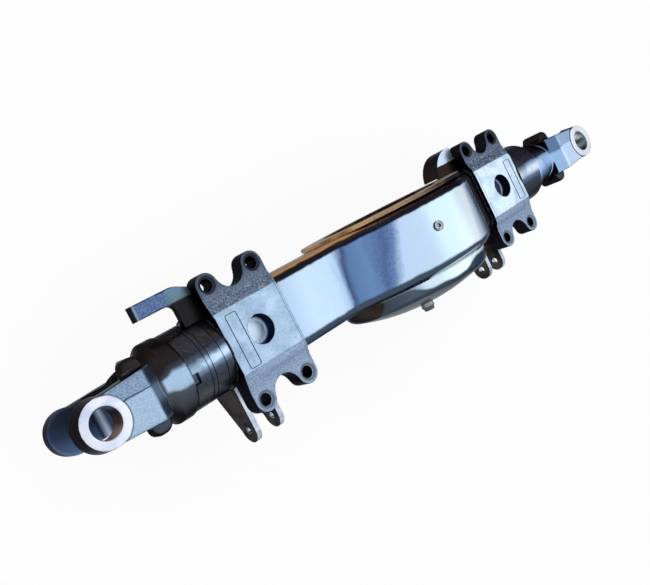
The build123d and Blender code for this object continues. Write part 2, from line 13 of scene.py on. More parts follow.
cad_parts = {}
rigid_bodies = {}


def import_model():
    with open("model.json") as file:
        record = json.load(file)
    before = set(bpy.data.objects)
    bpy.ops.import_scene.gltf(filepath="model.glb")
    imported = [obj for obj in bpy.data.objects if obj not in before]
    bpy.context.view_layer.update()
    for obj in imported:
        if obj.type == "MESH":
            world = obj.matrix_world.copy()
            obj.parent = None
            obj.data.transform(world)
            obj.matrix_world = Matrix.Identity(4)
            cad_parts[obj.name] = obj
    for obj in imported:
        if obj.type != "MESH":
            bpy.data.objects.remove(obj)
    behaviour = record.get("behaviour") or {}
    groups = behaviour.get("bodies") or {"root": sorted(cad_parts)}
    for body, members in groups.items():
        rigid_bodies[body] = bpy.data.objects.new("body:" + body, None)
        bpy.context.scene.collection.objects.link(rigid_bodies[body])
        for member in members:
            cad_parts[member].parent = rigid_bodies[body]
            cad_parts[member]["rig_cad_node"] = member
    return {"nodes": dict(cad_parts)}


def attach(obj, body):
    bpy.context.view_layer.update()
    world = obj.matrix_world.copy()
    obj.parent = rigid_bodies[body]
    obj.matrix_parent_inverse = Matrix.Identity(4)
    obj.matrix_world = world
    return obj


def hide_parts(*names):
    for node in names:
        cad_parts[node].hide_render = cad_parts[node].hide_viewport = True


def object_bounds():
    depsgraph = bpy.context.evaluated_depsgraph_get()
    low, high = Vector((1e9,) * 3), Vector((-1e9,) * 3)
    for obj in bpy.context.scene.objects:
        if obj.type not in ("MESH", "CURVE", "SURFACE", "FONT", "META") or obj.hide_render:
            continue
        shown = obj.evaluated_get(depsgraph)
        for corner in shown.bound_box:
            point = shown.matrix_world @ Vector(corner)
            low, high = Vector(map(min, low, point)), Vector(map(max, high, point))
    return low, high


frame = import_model()
cad_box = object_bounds()
print("nodes", len(frame["nodes"]), "box", [tuple(round(v, 3) for v in c) for c in cad_box])

# %% [markdown]
# The same few places are used again and again: the axle's centre line, the spring seats,
# the kingpins and the banjo's centre. Naming them once keeps every bead and mark seated.

# %% Places on the housing
AXLE_Z = -0.080
SEAT_X = 0.420
SEAT_HALF = 0.080
KINGPIN_X = 0.779
BANJO_X = 0.064
ENDS = (("near", -1), ("far", 1))
print("seat spacing", 2 * SEAT_X, "kingpin spacing", 2 * KINGPIN_X)

# %% [markdown]
# The camera stands above the near end and looks along the axle, so the near yoke is large
# and the far one small. Its place was found by matching the clamp holes and the kingpin
# rings, so it is set from three measured directions rather than aimed at a target.

# %% Camera
CAMERA_PLACE = (-1.1917, 0.1369, 1.2545)
CAMERA_RIGHT = (0.68736, -0.45192, 0.56861)
CAMERA_BACK = (-0.59974, 0.08845, 0.79529)
SENSOR_WIDTH = 36.0
LENS = 42.63

picture_camera = bpy.data.cameras.new("picture_camera")
camera = bpy.data.objects.new("picture_camera", picture_camera)
bpy.context.scene.collection.objects.link(camera)
right = Vector(CAMERA_RIGHT).normalized()
back = Vector(CAMERA_BACK).normalized()
up = back.cross(right).normalized()
right = up.cross(back).normalized()
turn = Matrix((right, up, back)).transposed().to_4x4()
camera.matrix_world = Matrix.Translation(CAMERA_PLACE) @ turn
picture_camera.sensor_width = SENSOR_WIDTH
picture_camera.lens = LENS
bpy.context.scene.camera = camera
bpy.context.scene.view_settings.view_transform = "Standard"
print("camera stands", round((camera.location - Vector((0, 0, AXLE_Z))).length, 2), "m away")

# %% [markdown]
# Each finish below is a small tree of nodes. A socket knows the tree it belongs to, so these
# helpers only take the values to work on. The first ones do arithmetic with sockets.

# %% Arithmetic in node trees


def feed(socket, value):
    """Gives a socket a number, a colour or another socket's value."""
    if isinstance(value, bpy.types.NodeSocket):
        socket.id_data.links.new(value, socket)
    else:
        socket.default_value = value


def calculate(operation, first, second=None):
    """One Math node on a socket and, for most operations, a second value."""
    node = first.id_data.nodes.new("ShaderNodeMath")
    node.operation = operation
    feed(node.inputs[0], first)
    if second is not None:
        feed(node.inputs[1], second)
    return node.outputs[0]


def times(*values):
    """Product of masks, or of a mask and its strength."""
    product = values[0]
    for value in values[1:]:
        product = calculate("MULTIPLY", product, value)
    return product


def plus(first, second):
    """Sum of two values."""
    return calculate("ADD", first, second)


def minus(first, second):
    """First value less the second."""
    return calculate("SUBTRACT", first, second)


def distance(first, second):
    """Length of the two sides of a right angle."""
    return calculate("SQRT", plus(times(first, first), times(second, second)))


print("arithmetic:", [helper.__name__ for helper in (times, plus, minus, distance)])

# %% [markdown]
# A border between two tones is a smooth step, as soft or as sharp as the real one. A rise and
# a fall make a band, and masks are joined by a product.

# %% Soft borders


def rise(value, low, high):
    """Smooth step from zero at low to one at high."""
    node = value.id_data.nodes.new("ShaderNodeMapRange")
    node.interpolation_type = "SMOOTHSTEP"
    feed(node.inputs["From Min"], low)
    feed(node.inputs["From Max"], high)
    feed(node.inputs["Value"], value)
    return node.outputs["Result"]


def past(value, border, soft):
    """One past a soft border and zero before it."""
    return rise(value, border - soft, border + soft)


def before(value, border, soft):
    """One before a soft border and zero past it."""
    return rise(value, border + soft, border - soft)


def between(value, low, high, soft):
    """One between low and high, with soft ends."""
    return times(past(value, low, soft), before(value, high, soft))


print("borders:", [helper.__name__ for helper in (rise, past, before, between)])

# %% [markdown]
# Colours are given by their everyday values from 0 to 255. A ramp lays several along a value,
# and a mix lays one over another where a mask says so.

# %% Clouds and colours


def tone(red, green, blue):
    """Linear colour from everyday values between 0 and 255."""
    linear = [((value / 255 + 0.055) / 1.055) ** 2.4 for value in (red, green, blue)]
    return (*linear, 1.0)


def noise(where, scale, detail, roughness, distortion=0.0):
    """Cloudy value from zero to one."""
    node = where.id_data.nodes.new("ShaderNodeTexNoise")
    feed(node.inputs["Scale"], scale)
    feed(node.inputs["Detail"], detail)
    feed(node.inputs["Roughness"], roughness)
    feed(node.inputs["Distortion"], distortion)
    feed(node.inputs["Vector"], where)
    return node.outputs["Fac"]


def ramp(value, low, high, stops):
    """Colour that follows a value; a stop is the value with its red, green and blue."""
    node = value.id_data.nodes.new("ShaderNodeValToRGB")
    feed(node.inputs["Fac"], calculate("DIVIDE", minus(value, low), high - low))
    points = node.color_ramp.elements
    while len(points) < len(stops):
        points.new(0.5)
    for point, (spot, *colour) in zip(points, stops):
        point.position = (spot - low) / (high - low)
        point.color = tone(*colour)
    return node.outputs["Color"]


def colour_sockets(sockets):
    """The colour sockets of a Mix node, which also has plain ones under the same names."""
    return [socket for socket in sockets if socket.type == "RGBA"]


def mix(share, first, second):
    """Colour that goes from first to second; each is a colour or a socket."""
    node = share.id_data.nodes.new("ShaderNodeMix")
    node.data_type = "RGBA"
    feed(node.inputs["Factor"], share)
    for socket, value in zip(colour_sockets(node.inputs), (first, second)):
        feed(socket, value)
    return colour_sockets(node.outputs)[0]


print("middle grey is", round(tone(128, 128, 128)[0], 3))

# %% [markdown]
# The floor is plain and pale. It glows where it is seen or mirrored, so it looks white, and is
# matt where it only passes on light, so that a faint shadow stays under the axle.

# %% Floor
FLOOR_SIZE = 60
FLOOR_COLOUR = (0.90, 0.90, 0.91, 1)
FLOOR_GLOW = 1.03
GLOW_SHARE = 0.87

floor_z = cad_box[0].z
bpy.ops.object.select_all(action="DESELECT")
bpy.ops.mesh.primitive_plane_add(size=FLOOR_SIZE, location=(0, 0, floor_z))
floor = bpy.context.object
floor.name = "studio_floor"


def nodes_of(material):
    """Clears a material and hands back its tree and its output node."""
    material.use_nodes = True
    tree = material.node_tree
    tree.nodes.clear()
    return tree, tree.nodes.new("ShaderNodeOutputMaterial")


def seen_or_mirrored(tree):
    """One where a ray is from the camera, a mirror or glass, and zero elsewhere."""
    path = tree.nodes.new("ShaderNodeLightPath").outputs
    found = path["Is Camera Ray"]
    for kind in ("Is Glossy Ray", "Is Transmission Ray"):
        found = calculate("MAXIMUM", found, path[kind])
    return found


floor_paint = bpy.data.materials.new("studio_floor")
tree, output = nodes_of(floor_paint)
matt = tree.nodes.new("ShaderNodeBsdfDiffuse")
feed(matt.inputs["Color"], FLOOR_COLOUR)
plain = tree.nodes.new("ShaderNodeEmission")
feed(plain.inputs["Strength"], FLOOR_GLOW)
blend = tree.nodes.new("ShaderNodeMixShader")
feed(blend.inputs[0], times(seen_or_mirrored(tree), GLOW_SHARE))
feed(blend.inputs[1], matt.outputs[0])
feed(blend.inputs[2], plain.outputs[0])
feed(output.inputs["Surface"], blend.outputs[0])
floor.data.materials.append(floor_paint)
print("floor at", round(floor_z, 3))

# %% [markdown]
# The air round the housing is white where it is seen or mirrored, and a little dimmer where
# it only lights.

# %% Air
AIR_COLOUR = (0.95, 0.97, 1.0, 1)
AIR_LIGHT = 0.78
AIR_SEEN = 1.0

world = bpy.data.worlds.new("studio_air")
bpy.context.scene.world = world
world.use_nodes = True
tree = world.node_tree
tree.nodes.clear()
strength = tree.nodes.new("ShaderNodeMapRange")
feed(strength.inputs["To Min"], AIR_LIGHT)
feed(strength.inputs["To Max"], AIR_SEEN)
feed(strength.inputs["Value"], seen_or_mirrored(tree))
sky = tree.nodes.new("ShaderNodeBackground")
feed(sky.inputs["Color"], AIR_COLOUR)
feed(sky.inputs["Strength"], strength.outputs["Result"])
air = tree.nodes.new("ShaderNodeOutputWorld")
feed(air.inputs["Surface"], sky.outputs[0])
print("air lights with", AIR_LIGHT, "and is seen as", AIR_SEEN)

# %% [markdown]
# One wide panel overhead gives the soft light and the long pale reflection on the top faces.
# A smaller one low on the carrier side lifts the dark flank a little.

# %% Lamps


def panel(name, place, aim, size, power, colour):
    """A soft rectangular lamp that points at a spot on the housing."""
    lamp = bpy.data.lights.new(name, "AREA")
    lamp.shape = "RECTANGLE"
    lamp.size, lamp.size_y = size
    lamp.energy = power
    lamp.color = colour
    holder = bpy.data.objects.new(name, lamp)
    bpy.context.scene.collection.objects.link(holder)
    holder.location = place
    holder.rotation_mode = "QUATERNION"
    holder.rotation_quaternion = (Vector(aim) - Vector(place)).to_track_quat("-Z", "Y")


panel(
    "ceiling_panel",
    place=(1.7, -0.3, 2.7),
    aim=(0.2, 0, -0.1),
    size=(3.0, 3.0),
    power=10,
    colour=(0.97, 0.985, 1.0),
)
panel(
    "flank_panel",
    place=(-0.6, 2.6, 0.5),
    aim=(0, 0, -0.1),
    size=(1.6, 1.0),
    power=4,
    colour=(1.0, 0.95, 0.9),
)

# %% [markdown]
# The real housing wears thick gloss black paint. Under an open sky it turns pale blue where
# it faces up, deep blue where it leans, and stays nearly black on its sides. The paints below
# paint this sky reflection and its shade into their colour. So a node group reads each
# surface's slope and place once, shifts them a little with a cloud so that no border is ruled
# straight, and hands them to every paint below.

# %% A node group that reads slope and place
CLOUD_SCALE = 16.0
GRAIN_SCALE = 190.0
GRIT_SCALE = 330.0
GROUP_OUTPUTS = ("X", "Y", "Z", "Slope X", "Slope Y", "Slope Z", "Off X", "Cloud", "Grain", "Grit")


def folded(value, middle):
    """Distance of a value's size from a middle, so both signs count alike."""
    return minus(calculate("ABSOLUTE", value), middle)


def new_group(title, inputs, outputs):
    """A shader group with named sockets, and its two end nodes."""
    group = bpy.data.node_groups.new(title, "ShaderNodeTree")
    for name, value in inputs:
        socket = group.interface.new_socket(name=name, in_out="INPUT", socket_type="NodeSocketFloat")
        socket.default_value = value
    for name in outputs:
        group.interface.new_socket(name=name, in_out="OUTPUT", socket_type="NodeSocketFloat")
    return group, group.nodes.new("NodeGroupInput"), group.nodes.new("NodeGroupOutput")


SURVEY_INPUTS = (("Drift", 0.006), ("Tilt", 0.2))
survey, start, end = new_group("surface_survey", SURVEY_INPUTS, GROUP_OUTPUTS)
coordinates = survey.nodes.new("ShaderNodeTexCoord")
place = coordinates.outputs["Object"]
cloud = noise(place, CLOUD_SCALE, detail=5.0, roughness=0.62, distortion=0.5)
grain = noise(place, GRAIN_SCALE, detail=4.0, roughness=0.7)
grit = noise(place, GRIT_SCALE, detail=3.0, roughness=0.6)
off = minus(cloud, 0.5)
drift = times(off, start.outputs["Drift"])
tilt = times(off, start.outputs["Tilt"])
for kind, amount, prefix in (("Object", drift, ""), ("Normal", tilt, "Slope ")):
    axes = survey.nodes.new("ShaderNodeSeparateXYZ")
    feed(axes.inputs[0], coordinates.outputs[kind])
    for axis in "XYZ":
        feed(end.inputs[prefix + axis], plus(axes.outputs[axis], amount))
straight = survey.nodes.new("ShaderNodeSeparateXYZ")
feed(straight.inputs[0], place)
feed(end.inputs["Off X"], folded(straight.outputs["X"], SEAT_X))
for name, value in (("Cloud", cloud), ("Grain", grain), ("Grit", grit)):
    feed(end.inputs[name], value)
print("survey gives", GROUP_OUTPUTS)

# %% [markdown]
# Rough castings, smooth forgings and pressed plate differ most in their skin. This group
# makes the height for a Bump node: coarse lumps, fine grit and a few pits, each with its
# own strength.

# %% A node group for the skin
LUMP_SCALE = 60.0
SKIN_GRIT_SCALE = 420.0
PIT_SCALE = 260.0
SKIN_INPUTS = (("Lumps", 0.5), ("Grit", 0.5), ("Pits", 0.0))
skin, start, end = new_group("metal_skin", SKIN_INPUTS, ("Height",))
coordinates = skin.nodes.new("ShaderNodeTexCoord")
place = coordinates.outputs["Object"]
lumps = noise(place, LUMP_SCALE, detail=3.0, roughness=0.5)
grit = noise(place, SKIN_GRIT_SCALE, detail=4.0, roughness=0.65)
pits = skin.nodes.new("ShaderNodeTexVoronoi")
feed(pits.inputs["Scale"], PIT_SCALE)
feed(pits.inputs["Vector"], place)
hole = rise(pits.outputs["Distance"], 0.05, 0.22)
height = times(lumps, start.outputs["Lumps"])
for layer, name in ((grit, "Grit"), (hole, "Pits")):
    height = plus(height, times(layer, start.outputs[name]))
feed(end.inputs["Height"], height)
print("skin ready")

# %% [markdown]
# Every finish starts with a survey of its own. Borders between mirrored tones wander a little
# in pressed plate and hardly at all in forgings, so each finish says how far.

# %% Start of a material


def surveyed(tree, drift, tilt):
    """The survey's readings, with borders that wander by drift and by tilt."""
    reading = tree.nodes.new("ShaderNodeGroup")
    reading.node_tree = survey
    feed(reading.inputs["Drift"], drift)
    feed(reading.inputs["Tilt"], tilt)
    return reading.outputs


def exact(tree):
    """The survey without its drift, for rings and edges that were machined."""
    return surveyed(tree, drift=0.0, tilt=0.0)


def begin(title, drift, tilt):
    """New material with the survey in it."""
    material = bpy.data.materials.new(title)
    tree, output = nodes_of(material)
    return material, tree, output, surveyed(tree, drift, tilt)


print("a material starts with", len(survey.nodes), "nodes of survey")

# %% [markdown]
# Every finish ends in the same way: a Principled shader with its colour, gloss and bump. The
# paint is given a high Metallic, so that its colour, which holds the painted sky reflection,
# shows as the tint of a mirror.

# %% Finish of a material
EDGE_TINT = (0.36, 0.37, 0.41, 1)
BUMP_STRENGTH = 0.8
PAINT_METALLIC = 0.92
CLOUD_RANGE = (0.3, 0.7)


def spread(value, low, high):
    """Maps a cloud to a range, for roughness."""
    node = value.id_data.nodes.new("ShaderNodeMapRange")
    ends = zip(("From Min", "From Max", "To Min", "To Max"), (*CLOUD_RANGE, low, high))
    for name, end in ends:
        feed(node.inputs[name], end)
    feed(node.inputs["Value"], value)
    return node.outputs["Result"]


def close(output, colour, rough, skin_values, depth, metallic=PAINT_METALLIC):
    """Principled shader with its colour, gloss and skin bump."""
    nodes = output.id_data.nodes
    texture = nodes.new("ShaderNodeGroup")
    texture.node_tree = skin
    for name, value in zip(("Lumps", "Grit", "Pits"), skin_values):
        feed(texture.inputs[name], value)
    bump = nodes.new("ShaderNodeBump")
    feed(bump.inputs["Distance"], depth)
    feed(bump.inputs["Strength"], BUMP_STRENGTH)
    feed(bump.inputs["Height"], texture.outputs["Height"])
    shader = nodes.new("ShaderNodeBsdfPrincipled")
    feed(shader.inputs["Base Color"], colour)
    feed(shader.inputs["Metallic"], metallic)
    feed(shader.inputs["Specular Tint"], EDGE_TINT)
    feed(shader.inputs["Roughness"], rough)
    feed(shader.inputs["Normal"], bump.outputs["Normal"])
    feed(output.inputs["Surface"], shader.outputs[0])


print("a material ends with", len(skin.nodes), "nodes of skin")

# %% [markdown]
# The pressed shells show the paint best. Along the beam the sky lies pale on the low zone,
# goes deep blue on the ramp, and comes back pale on the banjo until it turns down. This
# reflection is painted into the colour. A picture of a sky could give it as a real reflection,
# but a ramp of colours needs no file and puts each tone in its place.

# %% Gloss paint on top of the shells
BORDER_SLANT = 0.27
LOW_BORDER_SLANT = 0.17
BANJO_START_X = -0.123

shell_paint, tree, output, at = begin("gloss_black_paint", drift=0.026, tilt=0.30)
slant = minus(at["X"], times(at["Y"], BORDER_SLANT))
low_place = minus(at["X"], times(at["Y"], LOW_BORDER_SLANT))
# Painted sky reflection on the low zone and the ramp, darkest at the ramp's foot
low = ramp(low_place, -0.36, -0.10, (
    (-0.346, 132, 152, 178),
    (-0.336, 170, 193, 218),
    (-0.280, 188, 211, 234),
    (-0.205, 184, 208, 232),
    (-0.183, 166, 190, 220),
    (-0.169, 68, 88, 128),
    (-0.159, 96, 127, 172),
    (-0.132, 108, 142, 188),
    (-0.110, 102, 131, 178),
))
# Painted sky reflection on the banjo, fading to dark where it turns down
high = ramp(slant, -0.13, 0.24, (
    (-0.125, 102, 131, 178),
    (-0.104, 86, 110, 158),
    (-0.090, 112, 140, 186),
    (-0.075, 196, 221, 250),
    (-0.030, 200, 223, 245),
    (0.040, 202, 225, 244),
    (0.080, 216, 234, 248),
    (0.118, 236, 244, 250),
    (0.129, 204, 218, 237),
    (0.143, 184, 202, 228),
    (0.157, 146, 158, 170),
    (0.172, 98, 106, 116),
    (0.192, 34, 36, 42),
))
top = mix(past(at["X"], BANJO_START_X, 0.005), low, high)
print("top of the shells", len(tree.nodes), "nodes")

# %% [markdown]
# The walls of the shells stay dark, with a painted slate reflection on the rear walls and
# painted shade underneath. A painted glint runs along the rear rim of the banjo, just above
# the cover, a painted tan reflection lies along the front edge, and the ramp has a few dark
# specks. Masks of slope and place find these zones, so nothing is painted by hand.

# %% Walls, rim and edges of the shells
GLINT_X = (-0.036, 0.106)
GLINT_Z = (0.06, 0.08)
RIM_TAPER = 0.055
RIM_Y = -0.0758
EDGE_TOP_Z = -0.046
RAMP_X = (-0.125, -0.082)

true = exact(tree)
# Dark paint on the front walls, and a painted slate reflection on the rear walls
colour = mix(rise(at["Slope Y"], 0.14, 0.32), top, tone(30, 26, 34))
rear = mix(rise(at["Slope Y"], -0.70, -0.98), tone(66, 80, 96), tone(30, 34, 40))
colour = mix(rise(at["Slope Y"], -0.16, -0.40), colour, rear)

# The glint on the rear rim
rim_glint = ramp(true["X"], -0.06, 0.14, (
    (-0.040, 160, 178, 192),
    (-0.020, 196, 216, 230),
    (0.020, 214, 231, 238),
    (0.045, 188, 206, 216),
    (0.080, 166, 178, 191),
    (0.104, 110, 116, 128),
))
rim_place = minus(true["Y"], times(true["X"], RIM_TAPER))
on_rim = times(
    before(rim_place, RIM_Y, 0.001),
    rise(true["Z"], *GLINT_Z),
    between(true["X"], *GLINT_X, 0.006),
)
colour = mix(on_rim, colour, rim_glint)

# Painted shade underneath, a painted tan reflection on the front edge, specks on the ramp
colour = mix(rise(at["Slope Z"], 0.25, -0.15), colour, tone(17, 18, 22))
edge = mix(rise(at["X"], -0.16, 0.02), tone(182, 138, 90), tone(96, 74, 62))
on_edge = times(rise(at["Slope Y"], 0.66, 0.82), past(at["Z"], EDGE_TOP_Z, 0.006))
colour = mix(on_edge, colour, edge)
speck = rise(at["Grain"], 0.53, 0.62)
soot = times(speck, between(slant, *RAMP_X, 0.010))
colour = mix(times(soot, 0.38), colour, tone(48, 60, 94))
shine = spread(at["Cloud"], 0.20, 0.34)
close(output, colour, shine, skin_values=(0.5, 0.06, 0.0), depth=0.0007, metallic=0.95)
print("shell paint", len(tree.nodes), "nodes")

# %% [markdown]
# The rear cover is a pressed bowl. The sky's reflection is painted into its colour: a bright
# crescent on its upper flank, and a crown that falls away through slate to grey. The
# crescent's border is curved, so the place is shifted by a taper before the border is drawn.

# %% Gloss paint on the rear cover
CRESCENT_Y = -0.105
BOSS_Y = -0.131
SHADE_X = -0.1115

cover_paint, tree, output, at = begin("cover_gloss_paint", drift=0.030, tilt=0.22)
# Painted sky reflection on the upper flank: slate below the crescent, bright within it
slate = ramp(at["X"], -0.14, 0.27, (
    (-0.130, 56, 48, 46),
    (-0.116, 68, 60, 58),
    (-0.112, 20, 20, 22),
    (-0.107, 62, 70, 78),
    (-0.070, 78, 90, 104),
    (0.000, 56, 70, 84),
    (0.240, 60, 72, 84),
))
bright = ramp(at["X"], -0.14, 0.27, (
    (-0.110, 96, 100, 104),
    (-0.076, 120, 130, 140),
    (-0.062, 160, 182, 206),
    (-0.045, 218, 237, 249),
    (0.060, 224, 241, 249),
    (0.200, 226, 242, 247),
    (0.240, 120, 130, 140),
))

# The crescent is widest in the middle and tapers to both ends
near_taper = times(rise(at["X"], -0.036, -0.078), 0.018)
far_taper = times(rise(at["X"], 0.045, 0.110), 0.013)
bulge = times(between(at["X"], 0.010, 0.045, 0.020), 0.004)
taper = minus(plus(near_taper, far_taper), bulge)
flank_place = minus(exact(tree)["Y"], taper)
upper = mix(rise(flank_place, CRESCENT_Y - 0.0035, CRESCENT_Y + 0.0030), slate, bright)

# The crown's painted reflection, a paler one on its low rim, painted shade underneath, the
# plug's boss painted lighter on top, and painted shade at the near end
crown = ramp(at["Slope Y"], -1.05, -0.15, (
    (-1.00, 64, 68, 70),
    (-0.88, 108, 114, 114),
    (-0.76, 92, 100, 102),
    (-0.60, 50, 64, 78),
    (-0.40, 56, 70, 84),
))
colour = mix(rise(at["Slope Y"], -0.22, -0.40), upper, crown)
low_rim = times(rise(at["X"], 0.04, -0.07), rise(at["Slope Y"], -0.70, -0.92))
colour = mix(times(low_rim, 0.7), colour, tone(142, 148, 142))
colour = mix(rise(at["Slope Z"], 0.05, -0.30), colour, tone(22, 24, 27))
boss_tone = mix(rise(at["Slope Z"], 0.1, 0.5), tone(96, 103, 106), tone(134, 145, 148))
past_boss = before(at["Y"], BOSS_Y, 0.003)
on_boss = times(past_boss, rise(at["Slope Y"], -0.50, -0.30))
colour = mix(on_boss, colour, boss_tone)
past_shade = before(at["X"], SHADE_X, 0.0025)
shade = times(past_shade, rise(at["Slope Y"], -0.86, -0.74))
colour = mix(shade, colour, tone(50, 43, 42))
shine = spread(at["Cloud"], 0.20, 0.32)
close(output, colour, shine, skin_values=(0.4, 0.05, 0.0), depth=0.0006, metallic=0.95)
print("cover paint", len(tree.nodes), "nodes")

# %% [markdown]
# The tubes are round, so the sky makes one pale streak along the top of each. One side picks
# up warm brown from the ground, the other cool grey. These reflections are painted into the
# colour. On a round tube the slope stands for the angle, so one ramp over the slope draws the
# whole ring.

# %% Gloss paint on the tubes
NEAR_STRETCH_X = (-0.548, -0.505)


def on_far_side(at):
    """Zero on the near half of the axle and one on the far half."""
    return rise(at["X"], -0.1, 0.1)


tube_paint, tree, output, at = begin("tube_gloss_paint", drift=0.020, tilt=0.17)
# Painted reflections round each tube: a pale streak on top, darker warm and cool sides
near_ring = ramp(at["Slope Y"], -1.0, 1.0, (
    (-0.90, 38, 39, 38),
    (-0.68, 74, 78, 78),
    (-0.46, 50, 55, 64),
    (-0.26, 66, 76, 92),
    (-0.15, 112, 134, 162),
    (-0.03, 182, 208, 233),
    (0.08, 154, 180, 207),
    (0.17, 70, 82, 102),
    (0.30, 42, 44, 54),
    (0.52, 50, 41, 38),
    (0.86, 30, 24, 23),
))
far_ring = ramp(at["Slope Y"], -1.0, 1.0, (
    (-0.90, 30, 30, 32),
    (-0.60, 60, 60, 62),
    (-0.36, 62, 73, 86),
    (-0.20, 102, 120, 147),
    (-0.08, 214, 234, 250),
    (0.04, 222, 240, 250),
    (0.16, 150, 168, 196),
    (0.28, 42, 40, 50),
    (0.86, 26, 24, 28),
))
round_tone = mix(on_far_side(at), near_ring, far_ring)

# Scuffs, dust, a painted highlight beside the near seat and painted shade underneath
patch = rise(at["Cloud"], 0.50, 0.60)
colour = mix(times(patch, 0.35), round_tone, tone(58, 64, 76))
dusty = rise(at["Grain"], 0.48, 0.62)
colour = mix(times(dusty, 0.16), colour, tone(104, 104, 106))
near_stretch = between(at["X"], *NEAR_STRETCH_X, 0.010)
highlight_core = times(near_stretch, between(at["Slope Y"], -0.10, 0.07, 0.05))
colour = mix(times(highlight_core, 0.7), colour, tone(196, 218, 240))
colour = mix(rise(at["Slope Z"], 0.30, -0.10), colour, tone(20, 19, 20))
shine = spread(at["Cloud"], 0.20, 0.34)
close(output, colour, shine, skin_values=(0.5, 0.15, 0.0), depth=0.0007)
print("tube paint", len(tree.nodes), "nodes")

# %% [markdown]
# Each spring seat is cast, with a milled pad in the middle. The pad is pale and finely
# scratched with small black pores, and the ears keep their sand texture. Fine noise does
# both, and is equally sharp on the near and the far seat. The pad's blue tint, the brighter
# far pad and the paler rear ears are painted sky reflection.

# %% Milled pad and rough ears on the seats
PAD_REAR_Y = -0.0605
PAD_FRONT_Y = 0.0665
SAND_Y = (0.066, 0.094)
PAD_FOOT_Z = -0.0055

seat_paint, tree, output, at = begin("painted_casting", drift=0.004, tilt=0.12)
true = exact(tree)
far_side = on_far_side(true)

# The pad, with a painted sky reflection that is brighter on the far seat, and its pores
near_pad_tone = ramp(at["Cloud"], 0.3, 0.7, (
    (0.36, 148, 172, 198),
    (0.50, 165, 189, 213),
    (0.64, 180, 204, 228),
))
far_pad_tone = mix(rise(at["Cloud"], 0.38, 0.62), tone(188, 211, 232), tone(222, 240, 250))
pad_tone = mix(far_side, near_pad_tone, far_pad_tone)
pore = rise(at["Grain"], 0.57, 0.66)
pad_tone = mix(times(pore, 0.40), pad_tone, tone(78, 94, 122))

# The front ears, with a band of sand marks that shows most on the far seat
ear_tone = ramp(at["Grit"], 0.3, 0.7, (
    (0.40, 84, 96, 114),
    (0.52, 106, 120, 142),
    (0.64, 128, 143, 166),
))
front = mix(rise(at["Y"], 0.082, 0.124), ear_tone, tone(74, 83, 98))
fleck_strength = plus(times(far_side, 0.5), 0.5)
sandy = times(between(at["Y"], *SAND_Y, 0.005), fleck_strength)
dark_fleck = times(rise(at["Grain"], 0.50, 0.58), sandy, 0.75)
front = mix(dark_fleck, front, tone(38, 44, 56))
pale_fleck = times(rise(at["Grain"], 0.44, 0.37), sandy, 0.6)
front = mix(pale_fleck, front, tone(168, 180, 198))

# The rear ears are paler from a painted sky reflection, and the pad lies between both pairs
behind = mix(rise(at["Grit"], 0.40, 0.62), tone(124, 142, 166), tone(150, 168, 194))
on_front = rise(true["Y"], 0.02, 0.03)
grain_and_painted_sheen = mix(on_front, behind, front)
on_pad = times(
    between(at["Y"], PAD_REAR_Y, PAD_FRONT_Y, 0.0012),
    rise(true["Z"], PAD_FOOT_Z, PAD_FOOT_Z + 0.0020),
)
seat_top = mix(on_pad, grain_and_painted_sheen, pad_tone)
print("pad and ears", len(tree.nodes), "nodes")

# %% [markdown]
# The clamp holes have a spot face darkened with painted shade, and a rim with a painted
# highlight behind and painted shade in front. The well in the pad has a painted pale
# reflection on its floor and painted shade on its wall, and the holes are painted dark
# inside as shade. The sides of the casting stay dark. These rings have no height, so they
# are drawn by the distance from a hole's middle and not modelled.

# %% Clamp holes, wells and sides of the seats
CLAMP_HOLE_X = 0.0557
CLAMP_HOLE_Y = 0.1219
CLAMP_HOLE_RADIUS = 0.0120
SPOT_FACE_RADIUS = 0.0185
LIP_X = -0.0735
WELL_RADIUS = 0.0293
WELL_DEPTH = 0.0300
WELL_CONE_RADIUS = 0.0245

across = folded(true["Off X"], CLAMP_HOLE_X)
along = folded(true["Y"], CLAMP_HOLE_Y)
from_hole = distance(across, along)
# Painted shade on the spot faces, darkest on the front ears
ring = between(from_hole, CLAMP_HOLE_RADIUS + 0.0008, SPOT_FACE_RADIUS, 0.0006)
spot_face_shade = mix(on_front, tone(96, 108, 124), tone(32, 35, 43))
colour = mix(times(ring, 0.85), seat_top, spot_face_shade)
# Painted highlight on the hole rims behind, painted shade on them in front
rim = between(from_hole, CLAMP_HOLE_RADIUS - 0.0010, CLAMP_HOLE_RADIUS + 0.0010, 0.0004)
rim_highlight_and_shade = mix(on_front, tone(186, 196, 208), tone(58, 62, 70))
colour = mix(times(rim, 0.8), colour, rim_highlight_and_shade)
lip = between(true["Off X"], LIP_X - 0.001, LIP_X + 0.001, 0.0006)
colour = mix(times(lip, 0.55), colour, tone(70, 84, 108))
wall_tone = mix(rise(at["Grain"], 0.45, 0.70), tone(14, 15, 20), tone(34, 34, 40))
colour = mix(rise(at["Slope Z"], 0.72, 0.35), colour, wall_tone)
# Painted shade inside the clamp holes
deep = rise(from_hole, CLAMP_HOLE_RADIUS - 0.0002, CLAMP_HOLE_RADIUS - 0.0012)
colour = mix(deep, colour, tone(12, 14, 24))

